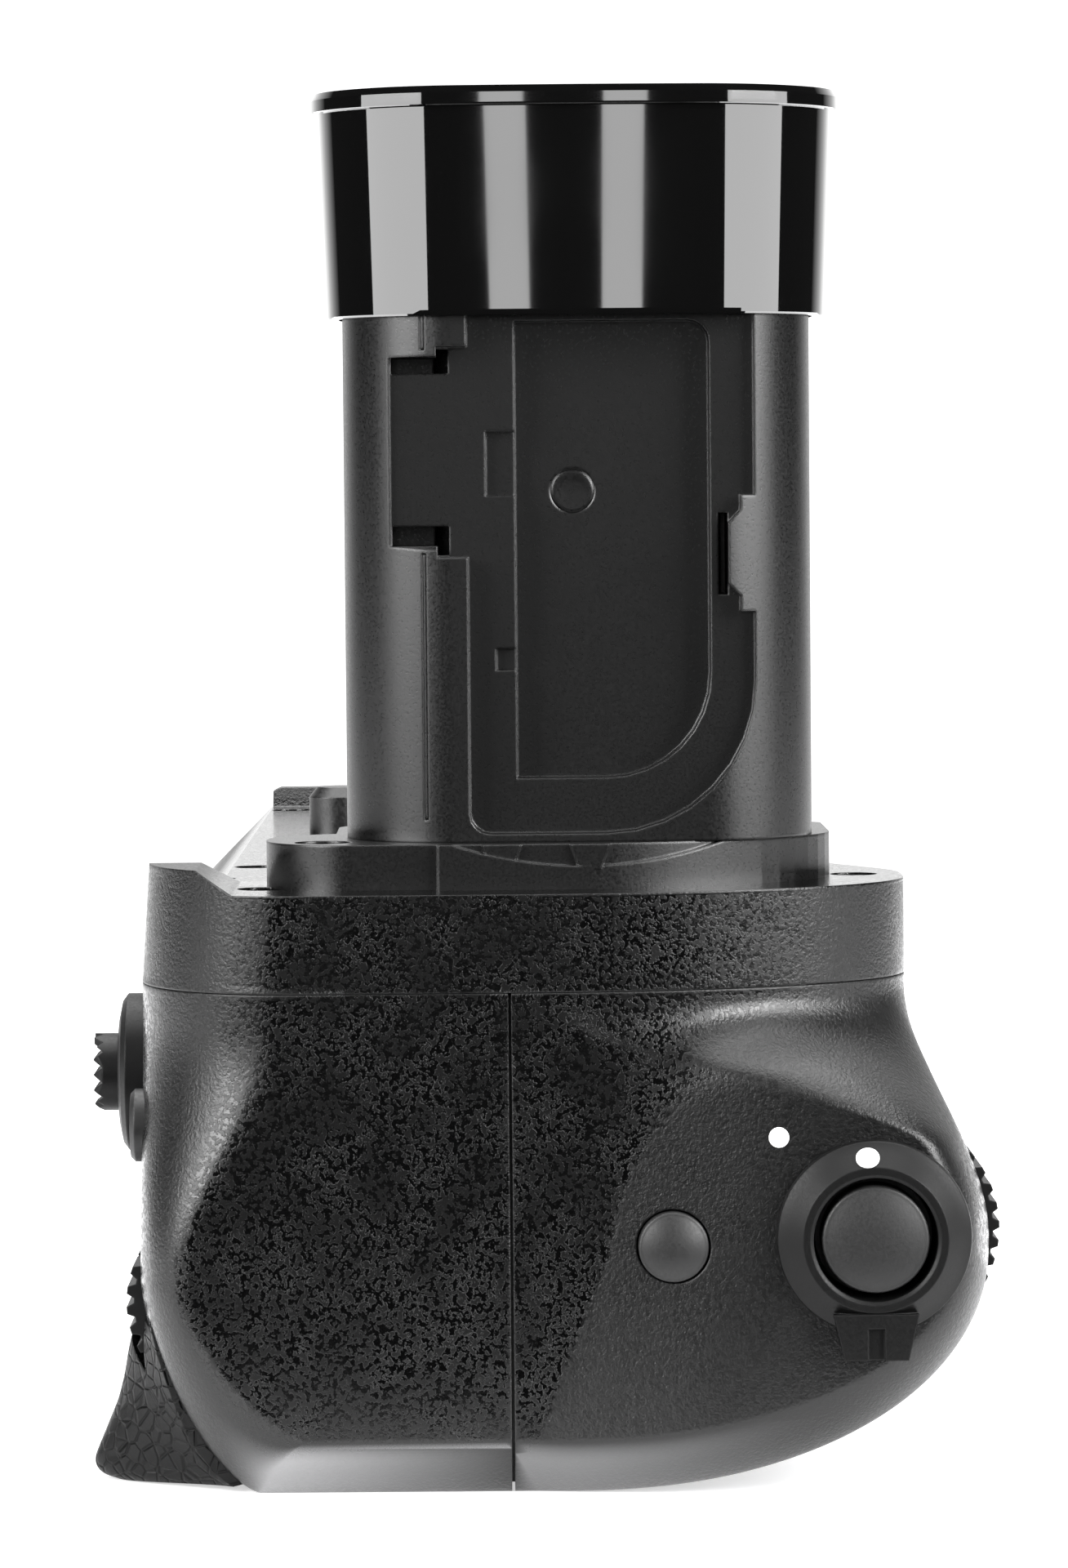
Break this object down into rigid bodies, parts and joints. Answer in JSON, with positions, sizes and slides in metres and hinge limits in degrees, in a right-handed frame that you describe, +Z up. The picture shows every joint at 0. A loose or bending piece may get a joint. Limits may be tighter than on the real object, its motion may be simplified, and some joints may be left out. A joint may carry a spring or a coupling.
{
  "type": "camera battery grip",
  "caption": "Black camera battery grip with a plug-in stalk and cap, shutter controls, command dials, a joystick and a slide-out battery tray.",
  "frame": {"origin": "mouth of the tripod socket in the base face", "axes": "+Z up from the base to the camera seat, +X along the body away from the shutter end, -Y towards the front of the camera"},
  "size_m": [0.1518, 0.0792, 0.1206],
  "materials": {
    "housing_paint": "fine crinkle black",
    "grip_rubber": "leather grain",
    "seal_rubber": "matte",
    "stalk_plastic": "fine grain",
    "cap_plastic": "gloss",
    "control_plastic": "satin",
    "inner_plastic": "matte",
    "washer_plastic": "smooth",
    "steel": "brushed",
    "dark_screw": "blackened",
    "contact_brass": "gold plated",
    "board": "solder mask",
    "ribbon": "film"
  },
  "bodies": {
    "housing": {"top_cover": "housing_paint", "front_cover": "housing_paint", "rear_cover": "housing_paint", "front_grip_rubber": "grip_rubber", "thumb_rest_rubber": "grip_rubber", "tripod_socket": "steel", "base_screws": "dark_screw", "top_screws": "dark_screw", "stalk_flange": "stalk_plastic", "flange_screws": "dark_screw", "stalk_front_shell": "stalk_plastic", "stalk_rear_shell": "stalk_plastic", "stalk_contact_block": "inner_plastic", "stalk_contacts": "contact_brass", "stalk_ribbon": "ribbon", "wheel_washer": "washer_plastic", "locating_pin": "steel", "button_guide": "inner_plastic", "control_board": "board", "control_switches": "steel", "sub_dial_axle": "steel", "sub_dial_yoke": "inner_plastic", "main_dial_axle": "steel", "main_dial_yoke": "inner_plastic", "joystick_base": "control_plastic", "joystick_housing": "inner_plastic", "rear_board": "board", "focus_switch": "steel", "battery_chamber": "inner_plastic", "chamber_contacts": "contact_brass", "main_board": "board"},
    "stalk_cap": {"stalk_cap": "cap_plastic"},
    "camera_fastener": {"camera_screw": "steel", "attachment_wheel": "control_plastic"},
    "shutter_button": {"shutter_button": "control_plastic"},
    "lock_lever": {"lock_lever": "control_plastic", "lever_clip": "steel"},
    "function_button": {"function_button": "control_plastic"},
    "sub_dial": {"sub_dial": "control_plastic"},
    "main_dial": {"main_dial": "control_plastic"},
    "focus_button": {"focus_button": "control_plastic"},
    "joystick_press": {"joystick_carrier": "inner_plastic"},
    "joystick_gimbal": {"joystick_gimbal": "steel"},
    "joystick": {"joystick_cap": "control_plastic"},
    "battery_tray": {"battery_tray": "inner_plastic", "tray_contacts": "contact_brass", "tray_cover": "housing_paint", "tray_seal": "seal_rubber"},
    "tray_latch": {"latch_knob": "control_plastic", "latch_dog": "steel"}
  },
  "joints": [
    {"name": "stalk_cap_lift", "type": "slide", "parent": "housing", "child": "stalk_cap", "axis": [0, 0, 1], "range_m": [0, 0.07]},
    {"name": "attachment_turn", "type": "hinge", "parent": "housing", "child": "camera_fastener", "pos_m": [0, 0, 0.04], "axis": [0, 0, 1], "continuous": true},
    {"name": "shutter_press", "type": "slide", "parent": "housing", "child": "shutter_button", "axis": [1, 0, 0], "range_m": [0, 0.0012], "stiffness_N_per_m": 500},
    {"name": "lock_turn", "type": "hinge", "parent": "housing", "child": "lock_lever", "pos_m": [-0.073, -0.0374, 0.0226], "axis": [-1, 0, 0], "range_deg": [0, 41]},
    {"name": "function_press", "type": "slide", "parent": "housing", "child": "function_button", "axis": [1, 0, 0], "range_m": [0, 0.0005], "stiffness_N_per_m": 800},
    {"name": "sub_dial_turn", "type": "hinge", "parent": "housing", "child": "sub_dial", "pos_m": [-0.0585, -0.039, 0.0219], "axis": [1, 0, 0], "continuous": true},
    {"name": "main_dial_turn", "type": "hinge", "parent": "housing", "child": "main_dial", "pos_m": [-0.0585, 0.0179, 0.016], "axis": [1, 0, 0], "continuous": true},
    {"name": "focus_press", "type": "slide", "parent": "housing", "child": "focus_button", "axis": [0, -1, 0], "range_m": [0, 0.0006], "stiffness_N_per_m": 800},
    {"name": "joystick_press", "type": "slide", "parent": "housing", "child": "joystick_press", "axis": [0, -1, 0], "range_m": [0, 0.0004], "stiffness_N_per_m": 1500},
    {"name": "joystick_tilt_up", "type": "hinge", "parent": "joystick_press", "child": "joystick_gimbal", "pos_m": [-0.046, 0.0214, 0.0345], "axis": [1, 0, 0], "range_deg": [-6, 6], "stiffness_Nm_per_rad": 0.05},
    {"name": "joystick_tilt_side", "type": "hinge", "parent": "joystick_gimbal", "child": "joystick", "pos_m": [-0.046, 0.0214, 0.0345], "axis": [0, 0, 1], "range_deg": [-6, 6], "stiffness_Nm_per_rad": 0.05},
    {"name": "tray_slide", "type": "slide", "parent": "housing", "child": "battery_tray", "axis": [1, 0, 0], "range_m": [0, 0.122]},
    {"name": "latch_turn", "type": "hinge", "parent": "battery_tray", "child": "tray_latch", "pos_m": [0.072, -0.0073, 0.0232], "axis": [1, 0, 0], "range_deg": [0, 90]}
  ]
}
